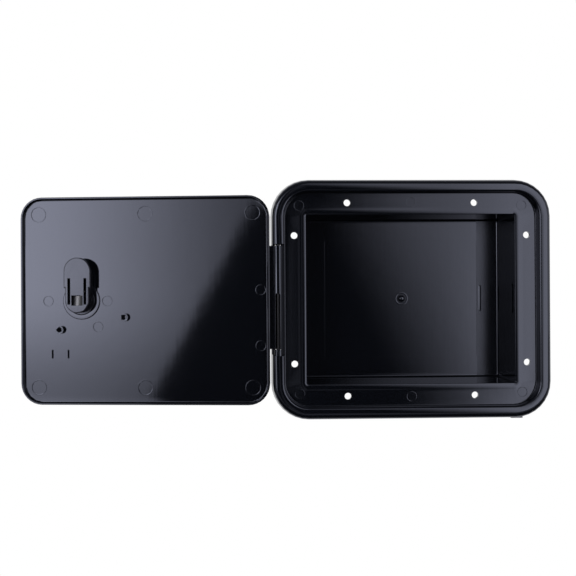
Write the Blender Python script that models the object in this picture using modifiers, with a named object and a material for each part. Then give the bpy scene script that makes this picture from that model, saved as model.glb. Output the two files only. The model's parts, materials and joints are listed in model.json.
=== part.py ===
"""Caravan fuel hatch: a moulded pocket frame and a hinged tray lid with a quarter-turn key latch.

X runs to the right, Y into the wall and Z up. The origin is the middle of the hatch on the wall
plane, where the flange's back meets the caravan's skin. The lid is shown swung open to its left.
"""

import math

import bmesh
import bpy
from mathutils import Vector

MM = 0.001

# Pocket frame, one moulding
FRAME_WIDTH = 192.0 * MM
FRAME_HEIGHT = 164.0 * MM
FRAME_CORNER = 25.5 * MM
WALL = 2.5 * MM
RIM_HEIGHT = 9.2 * MM
RIM_WIDTH = 9.3 * MM
RIM_OUTER_DRAFT = 0.9 * MM
RIM_INNER_DRAFT = 0.3 * MM
RIM_DOME = 0.1 * MM
OUTER_SHOULDER = 3.2 * MM
INNER_SHOULDER = 1.6 * MM
RIM_FOOT_ROUND = 0.5 * MM
HOLLOW_ROUND = 0.5 * MM
POCKET_MARGIN = 24.0 * MM
POCKET_DEPTH = 43.5 * MM
POCKET_CORNER = 1.4 * MM
POCKET_DRAFT = 1.2 * MM
MOUTH_ROUND = 0.4 * MM
MOUTH_BEAD_WIDTH = 4.0 * MM
MOUTH_BEAD_HEIGHT = 0.12 * MM
BACK_ROUND = 1.0 * MM
GATE_DIAMETER = 5.5 * MM
GATE_HEIGHT = 0.8 * MM

# Ejector marks on the flange: one in each corner and one in the middle of the long sides
FRAME_MARK_DIAMETER = 6.3 * MM
FRAME_MARK_FROM_RIM = 6.1 * MM
FRAME_CORNER_MARK_INSET = (19.3 * MM, 17.9 * MM)
MARK_DEPTH = 0.2 * MM

# Screw holes: a pair along each side of the flange
SCREW_DIAMETER = 4.6 * MM
SCREW_PAIR_SPACING = 87.5 * MM
SCREW_INSET = 16.0 * MM

# Gate tab on the rim's lower side, level with its foot
RIM_TAB_WIDTH = 8.0 * MM
RIM_TAB_DEPTH = 2.8 * MM
RIM_TAB_FROM_SIDE = 23.5 * MM
RIM_TAB_ROOT = 1.7 * MM

# Hinge on the left side of the rim
HINGE_FROM_EDGE = 4.8 * MM
HINGE_GAP_LENGTH = 74.0 * MM
HINGE_GAP_FLARE = 1.6 * MM
HINGE_FLOOR_GAP = 0.6 * MM
BARREL_WIDTH = 5.4 * MM
BARREL_ROUND = 2.0 * MM
PIN_DIAMETER = 3.0 * MM
PIN_GRIP = 5.0 * MM
RUN_CLEARANCE = 0.3 * MM
LUG_LENGTH = 3.4 * MM
SHELL_SPLIT = 4.85 * MM
LEAF_STEP = 0.2 * MM

# Lid, a shallow tray that closes into the rim
LID_SIDE_CLEARANCE = 1.1 * MM
LID_END_CLEARANCE = 1.7 * MM
LID_BELOW_CREST = 0.3 * MM
LID_CORNER = 14.6 * MM
LID_SKIN = 2.5 * MM
LID_LIP = 3.4 * MM
LID_LIP_WALL = 1.5 * MM
LID_EDGE_ROUND = 1.8 * MM
LID_INNER_ROUND = 0.6 * MM
LID_OPEN_ANGLE = math.radians(186.4)

# Ejector marks on the lid's inner face, from its edges, its hinge and its lock
LID_MARK_DIAMETER = 9.9 * MM
LID_MARK_INSET = 11.6 * MM
SMALL_MARK_DIAMETER = 6.5 * MM
MARKS_FROM_LOCK = ((23.3 * MM, 0.0), (-17.7 * MM, 0.0), (-11.3 * MM, -17.7 * MM))
MARKS_FROM_HINGE = ((11.8 * MM, 6.9 * MM), (11.8 * MM, -31.0 * MM))

# Two moulded sockets and two slits beside the lock
SOCKET_DIAMETER = 5.5 * MM
SOCKET_BORE = 3.4 * MM
SOCKET_HEIGHT = 3.8 * MM
SOCKET_SINK = 1.2 * MM
SOCKETS = ((14.6 * MM, -19.8 * MM), (-30.2 * MM, -11.4 * MM))
SLIT_SIZE = (1.4 * MM, 5.9 * MM)
SLIT_DEPTH = 2.0 * MM
SLITS = ((20.4 * MM, -36.5 * MM), (9.3 * MM, -36.5 * MM))

# Key lock through the lid
LOCK_FROM_POCKET_WALL = 28.0 * MM
SEAT_GAP = 0.3 * MM
HOUSING_DIAMETER = 18.6 * MM
BEZEL_DIAMETER = 27.2 * MM
BEZEL_HEIGHT = 2.4 * MM
BEZEL_ROUND = 1.2 * MM
GASKET_DIAMETER = 26.2 * MM
GASKET_HEIGHT = 0.8 * MM
RING_DIAMETER = 25.6 * MM
RING_HEIGHT = 0.8 * MM
RING_EDGE = 0.3 * MM
CORE_DIAMETER = 13.6 * MM
CORE_RECESS = 0.4 * MM
KEYWAY_SIZE = (1.5 * MM, 8.4 * MM)
KEYWAY_DEPTH = 8.0 * MM
TAIL_WIDTH = 7.1 * MM
TAIL_HEIGHT = 7.0 * MM
TAIL_CROWN = 8.0 * MM

# Latch cam on the lock's tail
LATCH_OVERLAP = 1.4 * MM
CAM_HEIGHT = 12.0 * MM
CAM_TOP_WALL = 2.0 * MM
CAM_SIDE_WALL = 1.6 * MM
CAM_BLADE = 3.2 * MM
CAM_HUB_DIAMETER = 16.2 * MM
CAM_BLADE_WIDTH = 18.2 * MM
CAM_STEP = 8.8 * MM
CAM_BODY_SETBACK = 3.6 * MM
CAM_EDGE_ROUND = 0.5 * MM
CAM_WINDOW_BAR = 0.8 * MM
TONGUE_WIDTH = 9.1 * MM
TONGUE_SLOT = 1.9 * MM
TONGUE_SLOT_DEPTH = 4.0 * MM
TONGUE_ROOT = 15.4 * MM
TONGUE_SLOT_END = 2.3 * MM

# Striker recess behind the flange, in the pocket wall away from the hinge
STRIKER_CLEARANCE = 0.5 * MM
STRIKER_WALL = 2.2 * MM
TRACK_WIDTH = 18.0 * MM
TRACK_DEPTH = 0.35 * MM

# Steps of the round forms
CORNER_STEPS = 8
SHOULDER_STEPS = 5
FILLET_STEPS = 3
SMALL_ROUND_STEPS = 2
HOLE_SIDES = 16
TURN_SIDES = 40

RIM_LEFT = -FRAME_WIDTH / 2
RIM_INNER_EDGE = RIM_WIDTH - RIM_INNER_DRAFT
POCKET_HALF_WIDTH = FRAME_WIDTH / 2 - POCKET_MARGIN
POCKET_HALF_HEIGHT = FRAME_HEIGHT / 2 - POCKET_MARGIN
HINGE_X = RIM_LEFT + HINGE_FROM_EDGE
HINGE_Y = -RIM_HEIGHT + LID_BELOW_CREST + LID_SKIN
BARREL_HALF = BARREL_WIDTH / 2
PIN_RADIUS = PIN_DIAMETER / 2
BORE_RADIUS = PIN_RADIUS + RUN_CLEARANCE
TROUGH_RADIUS = PIN_RADIUS + RUN_CLEARANCE / 2
HINGE_FLOOR = HINGE_Y + BARREL_HALF + HINGE_FLOOR_GAP
GAP_END = HINGE_GAP_LENGTH / 2
LUG_TOP = -GAP_END + LUG_LENGTH
LEAF_BOTTOM = LUG_TOP + RUN_CLEARANCE
LEAF_TOP = GAP_END - RUN_CLEARANCE
LID_FROM_HINGE = RIM_WIDTH + LID_SIDE_CLEARANCE - HINGE_FROM_EDGE
LID_WIDTH = FRAME_WIDTH - 2 * (RIM_WIDTH + LID_SIDE_CLEARANCE)
LID_HEIGHT = FRAME_HEIGHT - 2 * (RIM_WIDTH + LID_END_CLEARANCE)
LOCK_X = POCKET_HALF_WIDTH - LOCK_FROM_POCKET_WALL
LOCK_REACH = LOCK_X - HINGE_X
CAM_REACH = LOCK_FROM_POCKET_WALL + LATCH_OVERLAP
HOUSING_END = SEAT_GAP + RING_HEIGHT + SEAT_GAP
CAM_FOOT = HOUSING_END + SEAT_GAP
CAM_CEILING = CAM_HEIGHT - CAM_TOP_WALL
TAIL_END = CAM_CEILING - SEAT_GAP
SPARE = 2.0 * MM
SINK = 0.8 * MM
MERGE_DISTANCE = 0.01 * MM
SHARP_ANGLE = math.radians(35)


def collection(name):
    made = bpy.data.collections.new(name)
    bpy.context.scene.collection.children.link(made)
    return made


def material(name, colour, roughness, metallic=0.0):
    made = bpy.data.materials.new(name)
    made.use_nodes = True
    shader = made.node_tree.nodes["Principled BSDF"]
    shader.inputs["Base Color"].default_value = (*colour, 1.0)
    shader.inputs["Roughness"].default_value = roughness
    shader.inputs["Metallic"].default_value = metallic
    return made


def arc(centre, radius, start, end, steps):
    """Points on an arc, with the angles in degrees from +s towards +y."""
    points = []
    for i in range(steps + 1):
        angle = math.radians(start + (end - start) * i / steps)
        points.append((centre[0] + radius * math.cos(angle), centre[1] + radius * math.sin(angle)))
    return points


def rounded_ring(half_x, half_z, radius, y, centre_x=0.0):
    """A rounded rectangle across the hatch, at depth y."""
    ring = []
    for sign_x, sign_z, start in ((1, 1, 0), (-1, 1, 90), (-1, -1, 180), (1, -1, 270)):
        corner = (centre_x + sign_x * (half_x - radius), sign_z * (half_z - radius))
        for x, z in arc(corner, radius, start, start + 90, CORNER_STEPS):
            ring.append(Vector((x, y, z)))
    return ring


def stadium_ring(hub_radius, tip_radius, tip_z, y, steps=CORNER_STEPS * 2):
    """A stadium whose lower end is round the lock's axis and whose upper end is round tip_z."""
    ring = [Vector((x, y, z)) for x, z in arc((0.0, tip_z), tip_radius, 0, 180, steps)]
    ring += [Vector((x, y, z)) for x, z in arc((0.0, 0.0), hub_radius, 180, 360, steps)]
    return ring


def object_of(name, bm, where, finish=None, parent=None):
    """An object from a bmesh, with its faces pointing out."""
    bmesh.ops.recalc_face_normals(bm, faces=bm.faces)
    mesh = bpy.data.meshes.new(name)
    bm.to_mesh(mesh)
    bm.free()
    made = bpy.data.objects.new(name, mesh)
    where.objects.link(made)
    if finish:
        mesh.materials.append(finish)
    if parent:
        made.parent = parent
    return made


def add_loft(bm, rings):
    """A closed skin over rings of equal length, capped at both ends."""
    rows = [[bm.verts.new(point) for point in ring] for ring in rings]
    count = len(rows[0])
    for lower, upper in zip(rows, rows[1:]):
        for i in range(count):
            bm.faces.new((lower[i], lower[(i + 1) % count], upper[(i + 1) % count], upper[i]))
    bm.faces.new(rows[0])
    bm.faces.new(rows[-1])


def add_box(bm, low, high):
    """A box between two corners."""
    size = Vector(high) - Vector(low)
    made = bmesh.ops.create_cube(bm, size=1.0)
    bmesh.ops.scale(bm, vec=size, verts=made["verts"])
    bmesh.ops.translate(bm, vec=(Vector(high) + Vector(low)) / 2, verts=made["verts"])


def add_knuckle(bm, low, high):
    """A bar along the hinge's axis between two heights, square with well rounded corners."""
    flat = BARREL_HALF - BARREL_ROUND
    outline = []
    for side_x, side_y, start in ((1, 1, 0), (-1, 1, 90), (-1, -1, 180), (1, -1, 270)):
        outline += arc((side_x * flat, side_y * flat), BARREL_ROUND, start, start + 90, SHOULDER_STEPS)
    add_loft(bm, [[Vector((x, y, z)) for x, y in outline] for z in (low, high)])


def add_cylinder(bm, start, end, radius, sides=HOLE_SIDES):
    """A closed cylinder from one point to another."""
    along = Vector(end) - Vector(start)
    turn = along.to_track_quat("Z", "Y").to_matrix()
    made = bmesh.ops.create_cone(
        bm, cap_ends=True, segments=sides, radius1=radius, radius2=radius, depth=along.length
    )
    bmesh.ops.rotate(bm, cent=(0, 0, 0), matrix=turn, verts=made["verts"])
    bmesh.ops.translate(bm, vec=(Vector(start) + Vector(end)) / 2, verts=made["verts"])


def combine(target, other, operation):
    """A Boolean modifier; the other object becomes a hidden wire guide."""
    step = target.modifiers.new(other.name, "BOOLEAN")
    step.operation = operation
    step.object = other
    other.hide_render = True
    other.display_type = "WIRE"


def turned(name, profile, where, finish, parent):
    """A closed profile of (radius, depth) points, turned about the lock's axis."""
    bm = bmesh.new()
    corners = [bm.verts.new((radius, depth, 0.0)) for radius, depth in profile]
    for a, b in zip(corners, corners[1:] + corners[:1]):
        bm.edges.new((a, b))
    mesh = bpy.data.meshes.new(name)
    bm.to_mesh(mesh)
    bm.free()
    made = bpy.data.objects.new(name, mesh)
    where.objects.link(made)
    mesh.materials.append(finish)
    made.parent = parent
    screw = made.modifiers.new("turn", "SCREW")
    screw.axis = "Y"
    screw.steps = TURN_SIDES
    screw.render_steps = TURN_SIDES
    screw.use_merge_vertices = True
    screw.merge_threshold = MERGE_DISTANCE
    return made


def rim_front():
    """The front of the rim from its foot on the wall to the flange, as (inset, depth) points."""
    shoulder = -RIM_HEIGHT + RIM_DOME
    outer = (RIM_OUTER_DRAFT + OUTER_SHOULDER, shoulder + OUTER_SHOULDER)
    inner = (RIM_INNER_EDGE - INNER_SHOULDER, shoulder + INNER_SHOULDER)
    foot = (RIM_WIDTH + RIM_FOOT_ROUND, -WALL - RIM_FOOT_ROUND)
    outer_lean = math.degrees(math.atan2(RIM_OUTER_DRAFT, -outer[1]))
    inner_lean = math.degrees(math.atan2(RIM_INNER_DRAFT, RIM_HEIGHT - WALL))
    points = [(0.0, 0.0)]
    points += arc(outer, OUTER_SHOULDER, 180 + outer_lean, 270, SHOULDER_STEPS)
    points += [((outer[0] + inner[0]) / 2, -RIM_HEIGHT)]
    points += arc(inner, INNER_SHOULDER, 270, 360 - inner_lean, SHOULDER_STEPS)
    points += arc(foot, RIM_FOOT_ROUND, 180 - inner_lean, 90, FILLET_STEPS)
    return points


def rim_back():
    """The hollow behind the rim, from the flange's back to the foot on the wall."""
    top = -RIM_HEIGHT + WALL + HOLLOW_ROUND
    inner = (RIM_INNER_EDGE - WALL - HOLLOW_ROUND, top)
    outer = (RIM_OUTER_DRAFT + WALL + HOLLOW_ROUND, top)
    points = [(RIM_WIDTH - WALL, 0.0)]
    points += arc(inner, HOLLOW_ROUND, 360, 270, SMALL_ROUND_STEPS)
    points += arc(outer, HOLLOW_ROUND, 270, 180, SMALL_ROUND_STEPS)
    points += [(WALL, 0.0)]
    return points


def rim_rings(points):
    return [
        rounded_ring(FRAME_WIDTH / 2 - inset, FRAME_HEIGHT / 2 - inset, FRAME_CORNER - inset, depth)
        for inset, depth in points
    ]


def pocket_ring(spread, corner, depth):
    return rounded_ring(POCKET_HALF_WIDTH + spread, POCKET_HALF_HEIGHT + spread, corner, depth)


def mouth_points():
    """The low bead round the pocket's mouth and its edge, as (spread, depth) from the pocket's wall."""
    half = MOUTH_BEAD_WIDTH / 2
    radius = (half**2 + MOUTH_BEAD_HEIGHT**2) / (2 * MOUTH_BEAD_HEIGHT)
    lean = math.degrees(math.asin(half / radius))
    centre = (MOUTH_ROUND + half, radius - WALL - MOUTH_BEAD_HEIGHT)
    points = arc(centre, radius, 270 + lean, 270 - lean, SHOULDER_STEPS)
    edge = arc((MOUTH_ROUND, MOUTH_ROUND - WALL), MOUTH_ROUND, 270, 180, SMALL_ROUND_STEPS)
    return points + edge[1:]


def pocket_inner_rings():
    """The pocket's inside from the bead round its mouth to its back wall."""
    rings = []
    for spread, depth in mouth_points():
        rings.append(pocket_ring(spread, POCKET_CORNER + spread, depth))
    back = POCKET_DEPTH - WALL
    for inset, depth in arc((BACK_ROUND, back - BACK_ROUND), BACK_ROUND, 180, 90, FILLET_STEPS):
        rings.append(pocket_ring(-POCKET_DRAFT - inset, POCKET_CORNER, depth))
    return rings


def pocket_outer_rings():
    """The pocket's outside, from its back wall to the flange's back."""
    rings = []
    edge = BACK_ROUND + WALL
    for inset, depth in arc((edge, POCKET_DEPTH - edge), edge, 90, 180, FILLET_STEPS):
        rings.append(pocket_ring(WALL - POCKET_DRAFT - inset, POCKET_CORNER + WALL, depth))
    rings.append(pocket_ring(WALL, POCKET_CORNER + WALL, 0.0))
    return rings


def screw_places():
    """The eight screw holes as (x, z) points."""
    pair = SCREW_PAIR_SPACING / 2
    column = FRAME_WIDTH / 2 - SCREW_INSET
    row = FRAME_HEIGHT / 2 - SCREW_INSET
    places = []
    for across in (-1, 1):
        for up in (-1, 1):
            places.append((across * pair, up * row))
            places.append((across * column, up * pair))
    return places


def striker_box(grow):
    """Corners of the recess that takes the cam's tip, grown by a wall for the bump behind it."""
    half_chord = math.sqrt(CAM_REACH**2 - LOCK_FROM_POCKET_WALL**2)
    swing = half_chord + 2 * STRIKER_CLEARANCE + grow
    front = HINGE_Y + CAM_HEIGHT - CAM_BLADE - STRIKER_CLEARANCE
    back = HINGE_Y + CAM_HEIGHT + STRIKER_CLEARANCE + grow
    side = LOCK_X + CAM_REACH + STRIKER_CLEARANCE + grow
    return (POCKET_HALF_WIDTH - SPARE, front, -swing), (side, back, swing)


def striker_track():
    """The shallow track in the pocket's drafted wall, from the striker recess to the back."""
    half = TRACK_WIDTH / 2
    end = POCKET_DEPTH - WALL - BACK_ROUND
    lean = POCKET_DRAFT / end
    rings = []
    for depth in (HINGE_Y + CAM_HEIGHT, end):
        floor = POCKET_HALF_WIDTH - lean * depth + TRACK_DEPTH
        ends = ((floor, -half), (floor, half), (floor - SPARE, half), (floor - SPARE, -half))
        rings.append([Vector((x, depth, z)) for x, z in ends])
    return rings


def frame_marks():
    """Middles of the flange's ejector marks as (x, z) points."""
    corner_x = FRAME_WIDTH / 2 - FRAME_CORNER_MARK_INSET[0]
    corner_z = FRAME_HEIGHT / 2 - FRAME_CORNER_MARK_INSET[1]
    middle_z = FRAME_HEIGHT / 2 - RIM_WIDTH - FRAME_MARK_FROM_RIM
    marks = []
    for up in (-1, 1):
        marks.append((0.0, up * middle_z))
        marks += [(across * corner_x, up * corner_z) for across in (-1, 1)]
    return marks


def frame_additions(tools):
    """What is added to the swept frame: hinge block, striker bump, gate stub and gate tab."""
    bm = bmesh.new()
    half_wall = WALL / 2
    block_end = GAP_END + HINGE_GAP_FLARE + PIN_GRIP + WALL
    low = (RIM_LEFT + RIM_OUTER_DRAFT + half_wall, -RIM_HEIGHT + half_wall, -block_end)
    add_box(bm, low, (RIM_LEFT + RIM_INNER_EDGE - half_wall, -SEAT_GAP, block_end))
    low, high = striker_box(STRIKER_WALL)
    add_box(bm, (POCKET_HALF_WIDTH + SINK, -half_wall, low[2]), high)
    back = POCKET_DEPTH - WALL
    add_cylinder(bm, (0, back - GATE_HEIGHT, 0), (0, back + half_wall, 0), GATE_DIAMETER / 2)
    bottom = -FRAME_HEIGHT / 2
    tab = FRAME_WIDTH / 2 - RIM_TAB_FROM_SIDE
    half = RIM_TAB_WIDTH / 2
    low = (tab - half, -RIM_TAB_DEPTH, bottom)
    add_box(bm, low, (tab + half, -SEAT_GAP, bottom + RIM_TAB_ROOT))
    return object_of("frame_additions", bm, tools)


def hinge_gap_cutter(tools):
    """The opening through the rim for the lid's knuckle, with flared ends."""
    bm = bmesh.new()
    front = -RIM_HEIGHT - SPARE
    sides = [(GAP_END + HINGE_GAP_FLARE, front), (GAP_END, HINGE_Y), (GAP_END, HINGE_FLOOR)]
    outline = sides + [(-z, y) for z, y in reversed(sides)]
    across = (RIM_LEFT - SPARE, RIM_LEFT + RIM_WIDTH + RIM_FOOT_ROUND)
    add_loft(bm, [[Vector((x, y, z)) for z, y in outline] for x in across])
    return object_of("hinge_gap", bm, tools)


def hinge_lug(tools):
    """The bearing that stands up from the gap's floor at its lower end."""
    bm = bmesh.new()
    foot = -GAP_END - SINK
    low = (HINGE_X - BARREL_HALF, HINGE_Y, foot)
    add_box(bm, low, (HINGE_X + BARREL_HALF, HINGE_FLOOR + SINK, LUG_TOP))
    post = object_of("hinge_lug", bm, tools)
    bm = bmesh.new()
    add_knuckle(bm, foot, LUG_TOP)
    nose = object_of("hinge_lug_nose", bm, tools)
    nose.location = (HINGE_X, HINGE_Y, 0.0)
    combine(post, nose, "UNION")
    return post


def frame_cutters(tools):
    """Screw holes, ejector marks and the striker recess."""
    bm = bmesh.new()
    for x, z in screw_places():
        add_cylinder(bm, (x, -WALL - SPARE, z), (x, SPARE, z), SCREW_DIAMETER / 2)
    for x, z in frame_marks():
        floor = (x, MARK_DEPTH - WALL, z)
        add_cylinder(bm, (x, -WALL - SPARE, z), floor, FRAME_MARK_DIAMETER / 2)
    add_box(bm, *striker_box(0.0))
    return object_of("frame_cutters", bm, tools)


def slot_loft(bm, centre, radius, far, low, high):
    """A slot along Z, round in front of the hinge's axis and open towards the back."""
    outline = arc(centre, radius, 180, 360, HOLE_SIDES // 2)
    outline += [(centre[0] + radius, far), (centre[0] - radius, far)]
    add_loft(bm, [[Vector((x, y, z)) for x, y in outline] for z in (low, high)])


def pin_slots(tools):
    """Slots open to the back at both ends of the gap, which the pin drops into."""
    bm = bmesh.new()
    centre = (HINGE_X, HINGE_Y)
    end = GAP_END + PIN_GRIP
    slot_loft(bm, centre, BORE_RADIUS, SPARE, -end, LUG_TOP + RUN_CLEARANCE)
    slot_loft(bm, centre, BORE_RADIUS, SPARE, GAP_END - RUN_CLEARANCE, end)
    return object_of("pin_slots", bm, tools)


def frame_pocket(parts, tools, finish):
    """Rim, flange and pocket: one thin moulding with a hollow behind its rim."""
    bm = bmesh.new()
    rings = list(reversed(pocket_inner_rings())) + list(reversed(rim_rings(rim_front())))
    rings += list(reversed(rim_rings(rim_back()))) + list(reversed(pocket_outer_rings()))
    add_loft(bm, rings)
    frame = object_of("frame_pocket", bm, parts, finish)
    combine(frame, frame_additions(tools), "UNION")
    combine(frame, hinge_gap_cutter(tools), "DIFFERENCE")
    combine(frame, hinge_lug(tools), "UNION")
    combine(frame, frame_cutters(tools), "DIFFERENCE")
    bm = bmesh.new()
    add_loft(bm, striker_track())
    combine(frame, object_of("striker_track", bm, tools), "DIFFERENCE")
    combine(frame, pin_slots(tools), "DIFFERENCE")
    return frame


def hinge_pin(parts, finish):
    """A plain steel rod with chamfered ends."""
    chamfer = PIN_RADIUS / 4
    half = GAP_END + PIN_GRIP - RUN_CLEARANCE
    bm = bmesh.new()
    add_cylinder(bm, (0, 0, -half), (0, 0, half), PIN_RADIUS, 2 * HOLE_SIDES)
    pin = object_of("hinge_pin", bm, parts, finish)
    pin.location = (HINGE_X, HINGE_Y, 0.0)
    edges = pin.modifiers.new("chamfer", "BEVEL")
    edges.width = chamfer
    edges.segments = 1
    edges.limit_method = "ANGLE"
    edges.angle_limit = SHARP_ANGLE
    return pin


def lid_rings():
    """The tray from its inner face, over the lip and round its edge to the outer face."""
    half_x, half_z = LID_WIDTH / 2, LID_HEIGHT / 2
    centre = LID_FROM_HINGE + half_x
    base = (LID_LIP_WALL + LID_INNER_ROUND, LID_INNER_ROUND)
    points = arc(base, LID_INNER_ROUND, 270, 180, SMALL_ROUND_STEPS)
    tip = LID_LIP_WALL / 3
    points += [(LID_LIP_WALL, LID_LIP - tip), (LID_LIP_WALL - tip, LID_LIP)]
    points += [(tip, LID_LIP), (0.0, LID_LIP - tip)]
    edge = (LID_EDGE_ROUND, LID_EDGE_ROUND - LID_SKIN)
    points += arc(edge, LID_EDGE_ROUND, 180, 270, SHOULDER_STEPS)
    return [
        rounded_ring(half_x - inset, half_z - inset, LID_CORNER - inset, depth, centre)
        for inset, depth in points
    ]


def lid_additions(tools, swing):
    """The hinge leaf with its barrel, and the two sockets beside the lock."""
    bm = bmesh.new()
    inner = LID_FROM_HINGE + LID_LIP_WALL + LID_SKIN
    low = (BARREL_HALF / 2, -LID_SKIN + LEAF_STEP, LEAF_BOTTOM)
    add_box(bm, low, (inner, -LEAF_STEP, LEAF_TOP))
    leaf = object_of("lid_leaf", bm, tools, parent=swing)
    bm = bmesh.new()
    add_knuckle(bm, LEAF_BOTTOM, LEAF_TOP)
    barrel = object_of("lid_barrel", bm, tools, parent=swing)
    combine(leaf, barrel, "UNION")
    bm = bmesh.new()
    for x, z in SOCKETS:
        place = LOCK_REACH + x
        add_cylinder(bm, (place, -LID_SKIN / 2, z), (place, SOCKET_HEIGHT, z), SOCKET_DIAMETER / 2)
    sockets = object_of("lid_sockets", bm, tools, parent=swing)
    combine(leaf, sockets, "UNION")
    return leaf


def lid_marks():
    """The lid's ejector marks as (x, z, diameter), from the hinge's axis."""
    half_x = LID_WIDTH / 2 - LID_MARK_INSET
    half_z = LID_HEIGHT / 2 - LID_MARK_INSET
    middle = LID_FROM_HINGE + LID_WIDTH / 2
    marks = []
    for across in (-1, 0, 1):
        for up in (-1, 1):
            marks.append((middle + across * half_x, up * half_z, LID_MARK_DIAMETER))
    marks += [(LOCK_REACH + x, z, SMALL_MARK_DIAMETER) for x, z in MARKS_FROM_LOCK]
    marks += [(x, z, SMALL_MARK_DIAMETER) for x, z in MARKS_FROM_HINGE]
    return marks


def lid_cutters(tools, swing):
    """The lock's hole, the sockets' bores, the slits and the ejector marks."""
    bm = bmesh.new()
    radius = HOUSING_DIAMETER / 2 + SEAT_GAP
    start = (LOCK_REACH, -LID_SKIN - SPARE, 0)
    add_cylinder(bm, start, (LOCK_REACH, SPARE, 0), radius, TURN_SIDES)
    for x, z in SOCKETS:
        place = LOCK_REACH + x
        bottom = (place, -SOCKET_SINK, z)
        add_cylinder(bm, bottom, (place, SOCKET_HEIGHT + SPARE, z), SOCKET_BORE / 2)
    for x, z in SLITS:
        half_x, half_z = SLIT_SIZE[0] / 2, SLIT_SIZE[1] / 2
        place = LOCK_REACH + x
        low = (place - half_x, -SLIT_DEPTH, z - half_z)
        add_box(bm, low, (place + half_x, SPARE, z + half_z))
    for x, z, diameter in lid_marks():
        add_cylinder(bm, (x, -MARK_DEPTH, z), (x, SPARE, z), diameter / 2, 2 * HOLE_SIDES)
    return object_of("lid_cutters", bm, tools, parent=swing)


def trough_loft(bm, closed_end, open_end, depth):
    """A trough from the hinge's axis out to a depth, round at its closed end."""
    side = 1 if open_end > closed_end else -1
    middle = closed_end + side * TROUGH_RADIUS
    outline = arc((0.0, middle), TROUGH_RADIUS, 0, -side * 180, HOLE_SIDES // 2)
    outline += [(-TROUGH_RADIUS, open_end), (TROUGH_RADIUS, open_end)]
    add_loft(bm, [[Vector((x, y, z)) for x, z in outline] for y in (0.0, depth)])


def knuckle_cutters(tools, swing):
    """The pin's bore, open to the outer side above the split and to the inner side below it."""
    bm = bmesh.new()
    start = (0, 0, LEAF_BOTTOM - SPARE)
    add_cylinder(bm, start, (0, 0, LEAF_TOP + SPARE), BORE_RADIUS)
    bore = object_of("knuckle_bore", bm, tools, parent=swing)
    bm = bmesh.new()
    depth = BARREL_HALF + SPARE
    trough_loft(bm, SHELL_SPLIT, LEAF_TOP + SPARE, -depth)
    trough_loft(bm, SHELL_SPLIT, LEAF_BOTTOM - SPARE, depth)
    troughs = object_of("knuckle_troughs", bm, tools, parent=swing)
    return bore, troughs


def lid(parts, tools, finish, swing):
    """A tray with a standing lip, half shells round the hinge pin and a hole for the lock."""
    bm = bmesh.new()
    add_loft(bm, lid_rings())
    tray = object_of("lid", bm, parts, finish, swing)
    combine(tray, lid_additions(tools, swing), "UNION")
    combine(tray, lid_cutters(tools, swing), "DIFFERENCE")
    for cutter in knuckle_cutters(tools, swing):
        combine(tray, cutter, "DIFFERENCE")
    return tray


def lock_body(parts, plastic, rubber, lock):
    """The lock's housing with its bezel, the gasket under it and the ring that holds it."""
    bore = CORE_DIAMETER / 2 + SEAT_GAP
    outer = HOUSING_DIAMETER / 2
    rim = BEZEL_DIAMETER / 2
    gasket_back = -LID_SKIN - SEAT_GAP
    bezel_back = gasket_back - GASKET_HEIGHT - SEAT_GAP
    front = bezel_back - BEZEL_HEIGHT
    profile = [(bore, HOUSING_END), (outer, HOUSING_END), (outer, bezel_back), (rim, bezel_back)]
    profile += arc((rim - BEZEL_ROUND, front + BEZEL_ROUND), BEZEL_ROUND, 0, -90, FILLET_STEPS)
    profile += [(bore, front)]
    turned("lock_housing", profile, parts, plastic, lock)
    seal = [(outer + SEAT_GAP, gasket_back), (GASKET_DIAMETER / 2, gasket_back)]
    seal += [(radius, depth - GASKET_HEIGHT) for radius, depth in reversed(seal)]
    turned("lock_gasket", seal, parts, rubber, lock)
    ring_top = SEAT_GAP + RING_HEIGHT
    ring = RING_DIAMETER / 2
    grip = outer + SEAT_GAP
    profile = [(grip, ring_top), (ring - RING_EDGE, ring_top), (ring, ring_top - RING_EDGE)]
    profile += [(ring, SEAT_GAP), (grip, SEAT_GAP)]
    turned("retaining_ring", profile, parts, plastic, lock)
    return front


def lock_core(parts, tools, finish, front, turn):
    """The part that the key turns, with its keyway in front and a square crowned tail behind."""
    radius = CORE_DIAMETER / 2
    face = front + CORE_RECESS
    shoulder = HOUSING_END
    profile = [(0.0, shoulder), (radius, shoulder), (radius, face), (0.0, face)]
    core = turned("lock_core", profile, parts, finish, turn)
    half_x, half_z = TAIL_WIDTH / 2, TAIL_HEIGHT / 2
    spread = math.degrees(math.asin(half_x / TAIL_CROWN))
    centre = (0.0, TAIL_END - TAIL_CROWN)
    outline = [(half_x, shoulder - SPARE)]
    outline += arc(centre, TAIL_CROWN, 90 - spread, 90 + spread, SHOULDER_STEPS + 1)
    outline += [(-half_x, shoulder - SPARE)]
    bm = bmesh.new()
    add_loft(bm, [[Vector((x, y, z)) for x, y in outline] for z in (-half_z, half_z)])
    combine(core, object_of("core_tail", bm, tools, parent=turn), "UNION")
    bm = bmesh.new()
    half_x, half_z = KEYWAY_SIZE[0] / 2, KEYWAY_SIZE[1] / 2
    add_box(bm, (-half_x, face - SPARE, -half_z), (half_x, face + KEYWAY_DEPTH, half_z))
    combine(core, object_of("core_keyway", bm, tools, parent=turn), "DIFFERENCE")
    return core


def cam_loft(name, hub, tip, tip_z, foot, top, where, finish=None, parent=None):
    """A stadium from foot to top, with its top edge rounded over."""
    bm = bmesh.new()
    rings = [stadium_ring(hub, tip, tip_z, foot)]
    edge = (CAM_EDGE_ROUND, top - CAM_EDGE_ROUND)
    for inset, depth in arc(edge, CAM_EDGE_ROUND, 180, 90, SMALL_ROUND_STEPS):
        rings.append(stadium_ring(hub - inset, tip - inset, tip_z, depth))
    add_loft(bm, rings)
    return object_of(name, bm, where, finish, parent)


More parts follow.
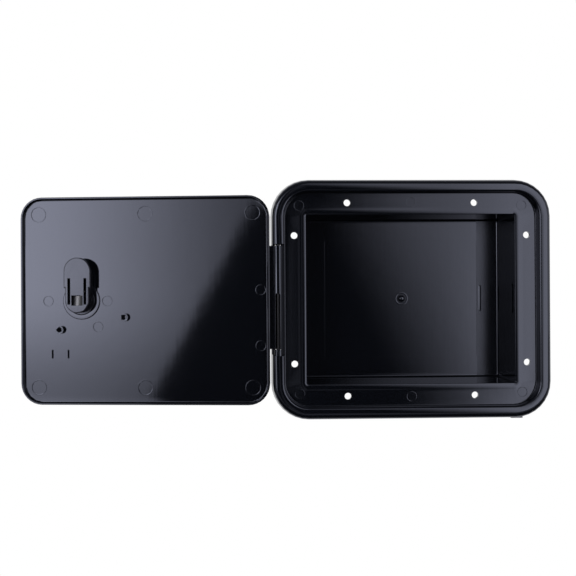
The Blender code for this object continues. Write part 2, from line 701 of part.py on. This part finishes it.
def latch_cam(parts, tools, finish, turn):
    """A hollow cam with a thin blade at its tip and a snap tongue over the lock's tail."""
    hub = CAM_HUB_DIAMETER / 2
    blade = CAM_BLADE_WIDTH / 2
    tip_z = CAM_REACH - blade
    body_z = CAM_REACH - CAM_BODY_SETBACK - hub
    cam = cam_loft("latch_cam", hub, hub, body_z, CAM_FOOT, CAM_HEIGHT, parts, finish, turn)
    combine(cam, cam_blade(tools, blade, tip_z, turn), "UNION")
    top = CAM_HEIGHT + SPARE
    under = CAM_FOOT - SPARE
    tail_x, tail_z = TAIL_WIDTH / 2 + SEAT_GAP, TAIL_HEIGHT / 2 + SEAT_GAP
    inside = hub - CAM_SIDE_WALL
    half = TONGUE_WIDTH / 2
    slot = half + TONGUE_SLOT
    bm = bmesh.new()
    add_box(bm, (-inside, under, tail_z + CAM_SIDE_WALL), (inside, CAM_CEILING, body_z))
    combine(cam, object_of("cam_hollow", bm, tools, parent=turn), "DIFFERENCE")
    bm = bmesh.new()
    add_box(bm, (-tail_x, under, -tail_z), (tail_x, CAM_CEILING, tail_z))
    combine(cam, object_of("cam_socket", bm, tools, parent=turn), "DIFFERENCE")
    bm = bmesh.new()
    low = (-tail_x, CAM_CEILING - SEAT_GAP, -tail_z + CAM_WINDOW_BAR)
    add_box(bm, low, (tail_x, top, tail_z))
    combine(cam, object_of("cam_window", bm, tools, parent=turn), "DIFFERENCE")
    bm = bmesh.new()
    for side in (-1, 1):
        first, last = sorted((side * half, side * slot))
        low = (first, CAM_HEIGHT - TONGUE_SLOT_DEPTH, -TONGUE_SLOT_END)
        add_box(bm, low, (last, top, TONGUE_ROOT))
    combine(cam, object_of("cam_slots", bm, tools, parent=turn), "DIFFERENCE")
    return cam


def cam_blade(tools, blade, tip_z, turn):
    """The cam's wide top plate, straight at its step and round at its tip."""
    ring = stadium_ring(blade, blade, tip_z, 0.0)
    tip = [point for point in ring if point.z > CAM_STEP]
    outline = tip + [Vector((-blade, 0.0, CAM_STEP)), Vector((blade, 0.0, CAM_STEP))]
    levels = (
        (0.0, CAM_HEIGHT - CAM_BLADE),
        (0.0, CAM_HEIGHT - CAM_EDGE_ROUND),
        (CAM_EDGE_ROUND, CAM_HEIGHT),
    )
    rings = []
    for inset, depth in levels:
        shrink = 1.0 - inset / blade
        rings.append([Vector((p.x * shrink, depth, tip_z + (p.z - tip_z) * shrink)) for p in outline])
    bm = bmesh.new()
    add_loft(bm, rings)
    return object_of("cam_blade", bm, tools, parent=turn)


def pivot(name, where, parent, location):
    """An empty that pieces are placed on and turn about."""
    made = bpy.data.objects.new(name, None)
    where.objects.link(made)
    made.parent = parent
    made.location = location
    return made


def shade(pieces):
    """Each piece's finished mesh, smooth up to its sharp edges."""
    graph = bpy.context.evaluated_depsgraph_get()
    finished = [(piece, bpy.data.meshes.new_from_object(piece.evaluated_get(graph))) for piece in pieces]
    for piece, mesh in finished:
        piece.modifiers.clear()
        piece.data = mesh
        mesh.shade_smooth()
        mesh.set_sharp_from_angle(angle=SHARP_ANGLE)


def build():
    for old in list(bpy.data.objects):
        bpy.data.objects.remove(old)
    parts = collection("fuel_hatch")
    tools = collection("fuel_hatch_tools")
    plastic = material("gloss_black_plastic", (0.008, 0.008, 0.010), 0.10)
    cam_plastic = material("black_nylon", (0.010, 0.010, 0.012), 0.20)
    steel = material("pin_steel", (0.02, 0.02, 0.022), 0.32, 1.0)
    metal = material("lock_metal", (0.12, 0.12, 0.125), 0.35, 1.0)
    rubber = material("gasket_rubber", (0.02, 0.02, 0.02), 0.7)

    frame_pocket(parts, tools, plastic)
    hinge_pin(parts, steel)

    swing = pivot("lid_swing", parts, None, (HINGE_X, HINGE_Y, 0.0))
    swing.rotation_euler = (0.0, 0.0, -LID_OPEN_ANGLE)
    lid(parts, tools, plastic, swing)

    lock = pivot("lock_seat", parts, swing, (LOCK_REACH, 0.0, 0.0))
    front = lock_body(parts, cam_plastic, rubber, lock)
    turn = pivot("lock_turn", parts, lock, (0.0, 0.0, 0.0))
    lock_core(parts, tools, metal, front, turn)
    latch_cam(parts, tools, cam_plastic, turn)
    shade([piece for piece in parts.objects if piece.type == "MESH"])


build()
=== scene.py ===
"""The looks of the caravan fuel hatch: glossy black moulded plastic in a white studio."""

import json
import math

import bmesh
import bpy
from mathutils import Matrix, Vector

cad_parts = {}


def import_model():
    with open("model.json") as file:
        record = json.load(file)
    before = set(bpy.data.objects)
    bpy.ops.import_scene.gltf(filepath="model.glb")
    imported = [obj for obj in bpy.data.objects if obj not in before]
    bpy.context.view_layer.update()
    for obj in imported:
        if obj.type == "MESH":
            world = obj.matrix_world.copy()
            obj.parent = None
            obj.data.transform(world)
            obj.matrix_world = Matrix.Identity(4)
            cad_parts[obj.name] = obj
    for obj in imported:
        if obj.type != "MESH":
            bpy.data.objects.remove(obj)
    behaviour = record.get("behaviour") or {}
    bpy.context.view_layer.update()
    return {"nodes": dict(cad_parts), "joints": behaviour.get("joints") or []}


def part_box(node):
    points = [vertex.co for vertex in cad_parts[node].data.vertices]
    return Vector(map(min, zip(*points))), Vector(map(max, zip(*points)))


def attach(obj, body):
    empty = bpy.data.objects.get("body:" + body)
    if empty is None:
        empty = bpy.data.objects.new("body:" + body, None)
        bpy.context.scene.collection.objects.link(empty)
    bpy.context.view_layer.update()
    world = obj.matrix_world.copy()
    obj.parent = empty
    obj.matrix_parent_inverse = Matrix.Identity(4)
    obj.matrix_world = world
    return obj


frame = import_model()

MM = 0.001

# The photograph's camera
CAMERA_PLACE = (-0.11285, -0.68289, 0.00664)
CAMERA_YAW = math.radians(2.40)
CAMERA_PITCH = math.radians(-0.12)
CAMERA_ROLL = math.radians(-0.32)
SENSOR_WIDTH = 36.0
FOCAL_LENGTH = 62.5
NEAREST_SEEN = 0.01

# The white surroundings, and the share of their light that matt surfaces get
FLOOR_LEVEL = -0.45
FLOOR_SIZE = 8.0
FLOOR_GREY = (0.9, 0.9, 0.9)
FLOOR_ROUGHNESS = 0.9
WHITE = (1.0, 1.0, 1.0)
DIFFUSE_DAYLIGHT = 0.12

# Lamps: name, place, size and power
LAMPS = (
    ("top_light", (-0.1, -0.5, 1.3), 1.0, 2.5),
    ("left_light", (-1.5, -0.6, 0.3), 0.8, 1.2),
    ("right_light", (1.4, -0.5, 0.3), 0.8, 1.2),
)

# Glowing cards that the gloss mirrors: behind the camera, above, and a table that is dark near by
CARD_DISTANCE = 1.5
CARD_HALF_WIDTH = 4.5
CARD_HALF_HEIGHT = 3.6
FLAG_STRENGTH = 0.03
CEILING_LEVEL = 1.0
CEILING_STRENGTH = 0.15
TABLE_LEVEL = -0.42
TABLE_NEAR = (0.70, 1.20)
TABLE_STRENGTH = (0.03, 0.35)

# The two ends of a smooth step in a card's glow
RISING = (0.0, 1.0)
FALLING = (1.0, 0.0)

# Softbox on the left: its leaning edge, its fading to the right and at its foot, and its ends
LEFT_EDGE = (-0.565, -0.525)
LEFT_LEAN = 0.55
LEFT_FALL = (-1.02, -0.40)
LEFT_STRENGTH = (6.1, 1.1)
LEFT_LOW = (-0.25, 0.02)
LEFT_LOW_SHARE = 0.45
LEFT_END = (-1.40, -1.15)
LEFT_TOP = (0.55, 0.75)
LEFT_BOTTOM = (-0.75, -0.55)

# Softbox on the right: its leaning edge, its growing strength and its ends
RIGHT_EDGE = (0.12, 0.44)
RIGHT_LEAN = -0.43
RIGHT_STRENGTH = 1.55
RIGHT_GROWTH = (0.30, 0.56)
RIGHT_EXTRA = 1.3
RIGHT_END = (1.20, 1.90)
RIGHT_TOP = (0.70, 0.95)
RIGHT_BOTTOM = (-0.95, -0.70)

# Faint light between the two, from beside the camera
MIDDLE_START = (-0.16, -0.10)
MIDDLE_END = (-0.04, 0.02)
MIDDLE_STRENGTH = 0.2

# Faint light from the sides, beyond the softboxes
SIDE_START = (1.10, 1.60)
SIDE_STRENGTH = 0.35

# Moulded plastic. A pattern is a noise's scale, its detail and how far it is stretched
PLASTIC_BLACK = (0.0022, 0.0027, 0.0044)
PLASTIC_ROUGHNESS = 0.055
DULL_ROUGHNESS = 0.22
NYLON_BLACK = (0.006, 0.006, 0.008)
NYLON_ROUGHNESS = 0.18
SHEEN_TINT = (0.84, 0.88, 1.12)
GLOSS_PATTERN = (60.0, 4.0)
GLOSS_SPREAD = (0.85, 1.2)
WAVE_PATTERN = (90.0, 1.0)
WAVE_HEIGHT = 0.012 * MM
STREAK_PATTERN = (520.0, 2.0, (1.0, 1.0, 0.05))
STREAK_SHARE = 0.3

# Metal and rubber
STEEL_GREY = (0.015, 0.015, 0.017)
STEEL_ROUGHNESS = 0.28
ZINC_GREY = (0.11, 0.11, 0.12)
ZINC_ROUGHNESS = 0.35
GRAIN_PATTERN = (900.0, 3.0, (1.0, 1.0, 8.0))
GRAIN_SPREAD = (0.7, 1.3)
GRAIN_HEIGHT = 0.01 * MM
GRAIN_STRENGTH = 0.4
RUBBER_BLACK = (0.02, 0.02, 0.021)
RUBBER_ROUGHNESS = 0.7
RUBBER_PATTERN = (1500.0, 2.0)
RUBBER_HEIGHT = 0.03 * MM

# Broken edges and smooth rounds of the CAD nodes
SHARP_ANGLE = math.radians(35)
WELD_DISTANCE = 0.002 * MM
EDGE_BREAK = 0.2 * MM
EDGE_BREAK_STEPS = 2
FLAT_WEIGHT = 100

# The faces that carry the fine marks: the flange, the pocket's back and the lid's inner face
WALL = 2.5 * MM
FLANGE_PLANE = -WALL
BACK_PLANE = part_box("frame_pocket")[1].y - WALL
LID_HINGE = next(joint for joint in frame["joints"] if joint["name"] == "lid_hinge")
HINGE = Vector(LID_HINGE["pos_m"])
LID_ANGLE = -math.radians(LID_HINGE["range_deg"][1])

# Fine marks in general
SINK = 0.15 * MM
RING_STEPS = 64
CORNER_STEPS = 8
RIDGE_SHOULDER = 0.75
MARK_SHARP_ANGLE = math.radians(50)

# Witness rings of the ejector pins: places and radii on the flange and, from the hinge, on the lid
RING_HALF_WIDTH = 0.22 * MM
RING_HEIGHT = 0.027 * MM
FLANGE_RINGS = [(x * MM, z * MM, 3.3 * MM) for x in (-76.7, 76.7) for z in (-64.1, 64.1)]
FLANGE_RINGS += [(0.0, z * MM, 3.3 * MM) for z in (-66.6, 66.6)]
LID_RINGS = [(x * MM, z * MM, 5.1 * MM) for x in (17.2, 91.2, 165.2) for z in (-59.4, 59.4)]
LID_RINGS += [
    (x * MM, z * MM, 3.4 * MM)
    for x, z in ((158.5, 0.0), (117.5, 0.0), (123.9, -17.7), (11.8, 6.9), (11.8, -31.0))
]

# Gate on the pocket's back: its ring, and the rounded nub on its stub as radii and heights in mm
GATE_PLACE = (0.0, 0.0)
GATE_RING_RADIUS = 4.2 * MM
GATE_RING_HALF_WIDTH = 0.5 * MM
GATE_RING_HEIGHT = 0.045 * MM
GATE_NUB = ((2.5, 0.6), (2.4, 0.8), (1.6, 1.9), (1.45, 2.0), (1.05, 2.14), (0.6, 2.23), (0.2, 2.26))

# Panel outline on the pocket's back
PANEL_LEFT, PANEL_RIGHT = -56.0 * MM, 55.3 * MM
PANEL_HALF_HEIGHT = 42.5 * MM
PANEL_CORNER = 1.5 * MM
PANEL_LINE_HEIGHT = 0.009 * MM

# End of the latch's track: how far its profile spreads from its outline, and its heights, in mm
TRACK_END = (57.7 * MM, 0.0)
TRACK_END_HALF_WIDTH = 1.0 * MM
TRACK_END_HALF_HEIGHT = 9.6 * MM
TRACK_END_PROFILE = ((0.0, -0.1), (0.0, 0.0), (-0.7, 0.3), (-0.9, 0.34))

# Duller strip from the panel's outline to the pocket's right wall: where it ends and its height
BORDER_END = 70.3 * MM
BORDER_HALF_HEIGHT = 56.3 * MM
BORDER_HEIGHT = 0.05 * MM


def link(tree, source, target):
    """Joins two sockets of a node tree."""
    tree.links.new(source, target)


def calculate(tree, operation, first, second=0.0, clamped=False):
    """The result of one operation on two values or sockets."""
    node = tree.nodes.new("ShaderNodeMath")
    node.operation = operation
    node.use_clamp = clamped
    for i, value in enumerate((first, second)):
        if isinstance(value, (int, float)):
            node.inputs[i].default_value = value
        else:
            link(tree, value, node.inputs[i])
    return node.outputs[0]


def combine(tree, operation, values):
    """The result of one operation on a row of values or sockets."""
    result = values[0]
    for value in values[1:]:
        result = calculate(tree, operation, result, value)
    return result


def spread(tree, value, low, high):
    """Stretches a value that goes from 0 to 1, so that it goes from low to high."""
    node = tree.nodes.new("ShaderNodeMapRange")
    node.inputs["To Min"].default_value = low
    node.inputs["To Max"].default_value = high
    link(tree, value, node.inputs["Value"])
    return node.outputs["Result"]


def step(tree, value, edge, ends):
    """A smooth step from one end to the other, as a value crosses the two limits of an edge."""
    node = tree.nodes.new("ShaderNodeMapRange")
    node.interpolation_type = "SMOOTHSTEP"
    node.inputs["From Min"].default_value, node.inputs["From Max"].default_value = edge
    node.inputs["To Min"].default_value, node.inputs["To Max"].default_value = ends
    link(tree, value, node.inputs["Value"])
    return node.outputs["Result"]


def noise(tree, scale, detail, stretch=(1.0, 1.0, 1.0)):
    """Noise from 0 to 1 that is fixed to the object."""
    place = tree.nodes.new("ShaderNodeTexCoord")
    mapping = tree.nodes.new("ShaderNodeMapping")
    mapping.inputs["Scale"].default_value = stretch
    texture = tree.nodes.new("ShaderNodeTexNoise")
    texture.inputs["Scale"].default_value = scale
    texture.inputs["Detail"].default_value = detail
    link(tree, place.outputs["Object"], mapping.inputs["Vector"])
    link(tree, mapping.outputs["Vector"], texture.inputs["Vector"])
    return texture.outputs["Fac"]


def new_material(name, colour, roughness, metallic=0.0):
    """A material, with its node tree and its main shader."""
    made = bpy.data.materials.new(name)
    made.use_nodes = True
    shader = made.node_tree.nodes["Principled BSDF"]
    shader.inputs["Base Color"].default_value = (*colour, 1.0)
    shader.inputs["Roughness"].default_value = roughness
    shader.inputs["Metallic"].default_value = metallic
    return made, made.node_tree, shader


def vary_roughness(tree, shader, pattern, roughness, shares):
    """Lets the roughness waver between two shares of itself."""
    low, high = (roughness * share for share in shares)
    link(tree, spread(tree, pattern, low, high), shader.inputs["Roughness"])


def add_bump(tree, shader, height, distance, strength=1.0):
    """Gives a shader's surface a relief."""
    bump = tree.nodes.new("ShaderNodeBump")
    bump.inputs["Distance"].default_value = distance
    bump.inputs["Strength"].default_value = strength
    link(tree, height, bump.inputs["Height"])
    link(tree, bump.outputs["Normal"], shader.inputs["Normal"])


def moulded_plastic(name, colour, roughness):
    """Moulded plastic with a faint waviness in its gloss and fine upright polishing streaks."""
    made, tree, shader = new_material(name, colour, roughness)
    shader.inputs["Specular Tint"].default_value = (*SHEEN_TINT, 1.0)
    vary_roughness(tree, shader, noise(tree, *GLOSS_PATTERN), roughness, GLOSS_SPREAD)
    streaks = calculate(tree, "MULTIPLY", noise(tree, *STREAK_PATTERN), STREAK_SHARE)
    height = calculate(tree, "ADD", noise(tree, *WAVE_PATTERN), streaks)
    add_bump(tree, shader, height, WAVE_HEIGHT)
    return made


def brushed_metal(name, colour, roughness):
    """Metal with fine grain in its gloss and its surface."""
    made, tree, shader = new_material(name, colour, roughness, metallic=1.0)
    grain = noise(tree, *GRAIN_PATTERN)
    vary_roughness(tree, shader, grain, roughness, GRAIN_SPREAD)
    add_bump(tree, shader, grain, GRAIN_HEIGHT, GRAIN_STRENGTH)
    return made


def rubber(name, colour, roughness):
    """Matt rubber with a fine rough surface."""
    made, tree, shader = new_material(name, colour, roughness)
    add_bump(tree, shader, noise(tree, *RUBBER_PATTERN), RUBBER_HEIGHT)
    return made


def dress(node, finish):
    """Gives a CAD node its finish, shades its rounds smooth and breaks its edges."""
    piece = frame["nodes"][node]
    piece.data.materials.clear()
    piece.data.materials.append(finish)
    for polygon in piece.data.polygons:
        polygon.use_smooth = True
    weld = piece.modifiers.new("weld", "WELD")
    weld.merge_threshold = WELD_DISTANCE
    edges = piece.modifiers.new("edges", "BEVEL")
    edges.width = EDGE_BREAK
    edges.segments = EDGE_BREAK_STEPS
    edges.limit_method = "ANGLE"
    edges.angle_limit = SHARP_ANGLE
    edges.harden_normals = False
    flats = piece.modifiers.new("flats", "WEIGHTED_NORMAL")
    flats.mode = "FACE_AREA"
    flats.weight = FLAT_WEIGHT
    flats.keep_sharp = False


def dress_nodes(plastic):
    """Finishes for all eight CAD nodes."""
    nylon = moulded_plastic("black_nylon", NYLON_BLACK, NYLON_ROUGHNESS)
    finishes = {
        "frame_pocket": plastic,
        "hinge_pin": brushed_metal("pin_steel", STEEL_GREY, STEEL_ROUGHNESS),
        "lid": plastic,
        "lock_housing": nylon,
        "lock_gasket": rubber("gasket_rubber", RUBBER_BLACK, RUBBER_ROUGHNESS),
        "retaining_ring": plastic,
        "lock_core": brushed_metal("lock_metal", ZINC_GREY, ZINC_ROUGHNESS),
        "latch_cam": nylon,
    }
    for node, finish in finishes.items():
        dress(node, finish)


def circle(radius):
    """Outline of a circle, as a function of how far it is spread."""

    def outline(spread_by):
        turns = [2 * math.pi * i / RING_STEPS for i in range(RING_STEPS)]
        reach = radius + spread_by
        return [(reach * math.cos(turn), reach * math.sin(turn)) for turn in turns]

    return outline


def rounded_box(half_width, half_height, corner):
    """Outline of a rounded rectangle, as a function of how far it is spread."""

    def outline(spread_by):
        points = []
        for side_x, side_z, start in ((1, 1, 0), (-1, 1, 90), (-1, -1, 180), (1, -1, 270)):
            for i in range(CORNER_STEPS + 1):
                angle = math.radians(start + 90 * i / CORNER_STEPS)
                x = side_x * (half_width - corner) + (corner + spread_by) * math.cos(angle)
                z = side_z * (half_height - corner) + (corner + spread_by) * math.sin(angle)
                points.append((x, z))
        return points

    return outline


def flange_face(x, z, out):
    """Places a point on the flange: across, up and out towards the viewer."""
    return Vector((x, FLANGE_PLANE - out, z))


def back_face(x, z, out):
    """Places a point on the pocket's back: across, up and out towards the viewer."""
    return Vector((x, BACK_PLANE - out, z))


def lid_face(x, z, out):
    """Places a point on the open lid's inner face: from the hinge, up and out of the face."""
    return HINGE + Matrix.Rotation(LID_ANGLE, 3, "Z") @ Vector((x, out, z))


def add_skin(bm, rings, closed):
    """A skin over rings of points: a closed loop of rings, or a mound with two caps."""
    rows = [[bm.verts.new(point) for point in ring] for ring in rings]
    count = len(rows[0])
    pairs = list(zip(rows, rows[1:]))
    if closed:
        pairs.append((rows[-1], rows[0]))
    for lower, upper in pairs:
        for i in range(count):
            bm.faces.new((lower[i], lower[(i + 1) % count], upper[(i + 1) % count], upper[i]))
    if not closed:
        bm.faces.new(rows[0])
        bm.faces.new(rows[-1])


def add_ridge(bm, face, middle, outline, half_width, height):
    """A low rounded ridge along a closed outline, sunk a little into its face."""
    section = (
        (-half_width, -SINK),
        (-half_width, 0.0),
        (-half_width / 2, height * RIDGE_SHOULDER),
        (0.0, height),
        (half_width / 2, height * RIDGE_SHOULDER),
        (half_width, 0.0),
        (half_width, -SINK),
    )
    rings = []
    for spread_by, out in section:
        rings.append([face(middle[0] + x, middle[1] + z, out) for x, z in outline(spread_by)])
    add_skin(bm, rings, closed=True)


def add_mound(bm, face, middle, outline, profile):
    """A mound of shrinking outlines, from pairs in mm: how far it is spread and how far out."""
    rings = []
    for spread_by, out in profile:
        points = outline(spread_by * MM)
        rings.append([face(middle[0] + x, middle[1] + z, out * MM) for x, z in points])
    add_skin(bm, rings, closed=False)


def new_mesh(name, bm):
    """A mesh of what was built, which is freed."""
    mesh = bpy.data.meshes.new(name)
    bm.to_mesh(mesh)
    bm.free()
    return mesh


def new_object(name, data):
    """An object in the scene."""
    made = bpy.data.objects.new(name, data)
    bpy.context.scene.collection.objects.link(made)
    return made


def fine_piece(name, bm, body, finish):
    """A small piece of the moulding that rides on a body."""
    bmesh.ops.recalc_face_normals(bm, faces=bm.faces)
    mesh = new_mesh(name, bm)
    mesh.shade_smooth()
    mesh.set_sharp_from_angle(angle=MARK_SHARP_ANGLE)
    mesh.materials.append(finish)
    made = new_object(name, mesh)
    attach(made, body)


def ejector_rings(name, places, face, body, plastic):
    """The raised rims that ejector pins leave round their marks."""
    bm = bmesh.new()
    for x, z, radius in places:
        add_ridge(bm, face, (x, z), circle(radius), RING_HALF_WIDTH, RING_HEIGHT)
    fine_piece(name, bm, body, plastic)


def gate_vestige(plastic):
    """The ring round the gate and the rounded nub on its stub."""
    bm = bmesh.new()
    add_mound(bm, back_face, GATE_PLACE, circle(0.0), GATE_NUB)
    ring = circle(GATE_RING_RADIUS)
    add_ridge(bm, back_face, GATE_PLACE, ring, GATE_RING_HALF_WIDTH, GATE_RING_HEIGHT)
    fine_piece("gate_vestige", bm, "frame", plastic)


def back_witness_lines(plastic):
    """The panel's faint outline on the pocket's back and the rounded end of the latch's track."""
    bm = bmesh.new()
    middle = ((PANEL_LEFT + PANEL_RIGHT) / 2, 0.0)
    panel = rounded_box((PANEL_RIGHT - PANEL_LEFT) / 2, PANEL_HALF_HEIGHT, PANEL_CORNER)
    add_ridge(bm, back_face, middle, panel, RING_HALF_WIDTH, PANEL_LINE_HEIGHT)
    bar = rounded_box(TRACK_END_HALF_WIDTH, TRACK_END_HALF_HEIGHT, TRACK_END_HALF_WIDTH)
    add_mound(bm, back_face, TRACK_END, bar, TRACK_END_PROFILE)
    fine_piece("back_witness_lines", bm, "frame", plastic)


def back_border(dull):
    """The duller strip beside the pocket's right wall."""
    bm = bmesh.new()
    left, right = PANEL_RIGHT, BORDER_END
    corners = ((left, -SINK), (left, BORDER_HEIGHT), (right, BORDER_HEIGHT), (right, -SINK))
    ends = (-BORDER_HALF_HEIGHT, BORDER_HALF_HEIGHT)
    add_skin(bm, [[back_face(x, z, out) for x, out in corners] for z in ends], closed=False)
    fine_piece("back_border", bm, "frame", dull)


def camera():
    """The photograph's camera."""
    turn = (
        Matrix.Rotation(CAMERA_ROLL, 3, "Y")
        @ Matrix.Rotation(CAMERA_PITCH, 3, "X")
        @ Matrix.Rotation(CAMERA_YAW, 3, "Z")
    ).transposed()
    right, ahead, up = turn.col[0], turn.col[1], turn.col[2]
    made = new_object("camera", bpy.data.cameras.new("camera"))
    made.data.sensor_width = SENSOR_WIDTH
    made.data.lens = FOCAL_LENGTH
    made.data.clip_start = NEAREST_SEEN
    place = Matrix((right, up, -ahead)).transposed().to_4x4()
    place.translation = Vector(CAMERA_PLACE)
    made.matrix_world = place
    bpy.context.scene.camera = made


def seen_directly(tree):
    """1 for what the camera sees, straight or by a mirror or through glass, and 0 for the rest."""
    path = tree.nodes.new("ShaderNodeLightPath")
    total = path.outputs["Is Camera Ray"]
    for name in ("Is Glossy Ray", "Is Transmission Ray"):
        total = calculate(tree, "ADD", total, path.outputs[name], clamped=True)
    return total


def world():
    """White surroundings that light matt surfaces only faintly."""
    made = bpy.data.worlds.new("studio")
    bpy.context.scene.world = made
    made.use_nodes = True
    tree = made.node_tree
    background = tree.nodes["Background"]
    background.inputs["Color"].default_value = (*WHITE, 1.0)
    light = spread(tree, seen_directly(tree), DIFFUSE_DAYLIGHT, 1.0)
    link(tree, light, background.inputs["Strength"])


def floor():
    """A floor that looks as white as the surroundings and lights the object like matt paper."""
    bm = bmesh.new()
    bmesh.ops.create_grid(bm, x_segments=1, y_segments=1, size=FLOOR_SIZE / 2)
    mesh = new_mesh("floor", bm)
    finish, tree, shader = new_material("floor_white", FLOOR_GREY, FLOOR_ROUGHNESS)
    glow = tree.nodes.new("ShaderNodeEmission")
    mix = tree.nodes.new("ShaderNodeMixShader")
    link(tree, seen_directly(tree), mix.inputs["Fac"])
    link(tree, shader.outputs[0], mix.inputs[1])
    link(tree, glow.outputs[0], mix.inputs[2])
    link(tree, mix.outputs[0], tree.nodes["Material Output"].inputs["Surface"])
    mesh.materials.append(finish)
    made = new_object("floor", mesh)
    made.location = (0.0, 0.0, FLOOR_LEVEL)


def lamp(name, place, size, power):
    """A soft square lamp that faces the object."""
    data = bpy.data.lights.new(name, "AREA")
    data.size = size
    data.energy = power
    made = new_object(name, data)
    made.location = place
    made.rotation_euler = (-Vector(place)).to_track_quat("-Z", "Y").to_euler()
    made.visible_camera = False


def card(name, corners, strength):
    """A glowing card that only reflections and soft light see; gives its node tree and glow."""
    bm = bmesh.new()
    bm.faces.new([bm.verts.new(corner) for corner in corners])
    mesh = new_mesh(name, bm)
    finish = bpy.data.materials.new(name)
    finish.use_nodes = True
    tree = finish.node_tree
    tree.nodes.clear()
    glow = tree.nodes.new("ShaderNodeEmission")
    glow.inputs["Strength"].default_value = strength
    output = tree.nodes.new("ShaderNodeOutputMaterial")
    link(tree, glow.outputs[0], output.inputs["Surface"])
    mesh.materials.append(finish)
    made = new_object(name, mesh)
    made.visible_camera = False
    made.visible_shadow = False
    return tree, glow


def flat_card(name, level, strength):
    """A level card above or below the space in front of the hatch."""
    left, right, front = -CARD_HALF_WIDTH, CARD_HALF_WIDTH, -CARD_DISTANCE
    sides = ((left, front), (right, front), (right, 0.0), (left, 0.0))
    return card(name, [(x, y, level) for x, y in sides], strength)


def position(tree):
    """Where a point of a card is: across, ahead and up."""
    place = tree.nodes.new("ShaderNodeNewGeometry")
    split = tree.nodes.new("ShaderNodeSeparateXYZ")
    link(tree, place.outputs["Position"], split.inputs[0])
    return [split.outputs[axis] for axis in "XYZ"]


def studio_table():
    """A card below the hatch that is dark near it and lighter further off."""
    tree, glow = flat_card("studio_table", TABLE_LEVEL, 1.0)
    across, ahead, _ = position(tree)
    squares = [calculate(tree, "MULTIPLY", length, length) for length in (across, ahead)]
    away = calculate(tree, "SQRT", combine(tree, "ADD", squares))
    link(tree, step(tree, away, TABLE_NEAR, TABLE_STRENGTH), glow.inputs["Strength"])


def leaning(tree, across, up, lean):
    """How far across a point is from a line that leans."""
    return calculate(tree, "SUBTRACT", across, calculate(tree, "MULTIPLY", up, lean))


def left_softbox(tree, across, up):
    """Glow of the left softbox, which fades to the right and at its foot."""
    parts = (
        (leaning(tree, across, up, LEFT_LEAN), LEFT_EDGE, FALLING),
        (across, LEFT_FALL, LEFT_STRENGTH),
        (up, LEFT_LOW, (LEFT_LOW_SHARE, 1.0)),
        (across, LEFT_END, RISING),
        (up, LEFT_TOP, FALLING),
        (up, LEFT_BOTTOM, RISING),
    )
    return combine(tree, "MULTIPLY", [step(tree, *part) for part in parts])


def right_softbox(tree, across, up):
    """Glow of the right softbox, which grows to the right."""
    strengths = (RIGHT_STRENGTH, RIGHT_STRENGTH + RIGHT_EXTRA)
    parts = (
        (leaning(tree, across, up, RIGHT_LEAN), RIGHT_EDGE, RISING),
        (across, RIGHT_GROWTH, strengths),
        (across, RIGHT_END, FALLING),
        (up, RIGHT_TOP, FALLING),
        (up, RIGHT_BOTTOM, RISING),
    )
    return combine(tree, "MULTIPLY", [step(tree, *part) for part in parts])


def studio_front():
    """A dark flag behind the camera with a tilted softbox on its left and one on its right."""
    corners = [
        (side * CARD_HALF_WIDTH, -CARD_DISTANCE, end * CARD_HALF_HEIGHT)
        for side, end in ((-1, -1), (1, -1), (1, 1), (-1, 1))
    ]
    tree, glow = card("studio_front", corners, 1.0)
    across, _, up = position(tree)
    middle = step(tree, across, MIDDLE_START, (0.0, MIDDLE_STRENGTH))
    aside = calculate(tree, "ABSOLUTE", across)
    glows = (
        left_softbox(tree, across, up),
        right_softbox(tree, across, up),
        calculate(tree, "MULTIPLY", middle, step(tree, across, MIDDLE_END, FALLING)),
        step(tree, aside, SIDE_START, (0.0, SIDE_STRENGTH)),
        FLAG_STRENGTH,
    )
    link(tree, combine(tree, "ADD", glows), glow.inputs["Strength"])


def studio():
    """Everything round the hatch: surroundings, cards and lamps."""
    world()
    floor()
    studio_front()
    flat_card("studio_ceiling", CEILING_LEVEL, CEILING_STRENGTH)
    studio_table()
    for name, place, size, power in LAMPS:
        lamp(name, place, size, power)


def moulding_marks(plastic, dull):
    """The fine marks of the mould on the flange, the lid and the pocket's back."""
    ejector_rings("flange_ejector_rings", FLANGE_RINGS, flange_face, "frame", plastic)
    ejector_rings("lid_ejector_rings", LID_RINGS, lid_face, "lid", plastic)
    gate_vestige(plastic)
    back_witness_lines(plastic)
    back_border(dull)


def main():
    """Builds the whole picture."""
    camera()
    studio()
    plastic = moulded_plastic("gloss_black_plastic", PLASTIC_BLACK, PLASTIC_ROUGHNESS)
    dull = moulded_plastic("dull_black_plastic", PLASTIC_BLACK, DULL_ROUGHNESS)
    dress_nodes(plastic)
    moulding_marks(plastic, dull)
    bpy.context.scene.view_settings.view_transform = "Standard"


main()
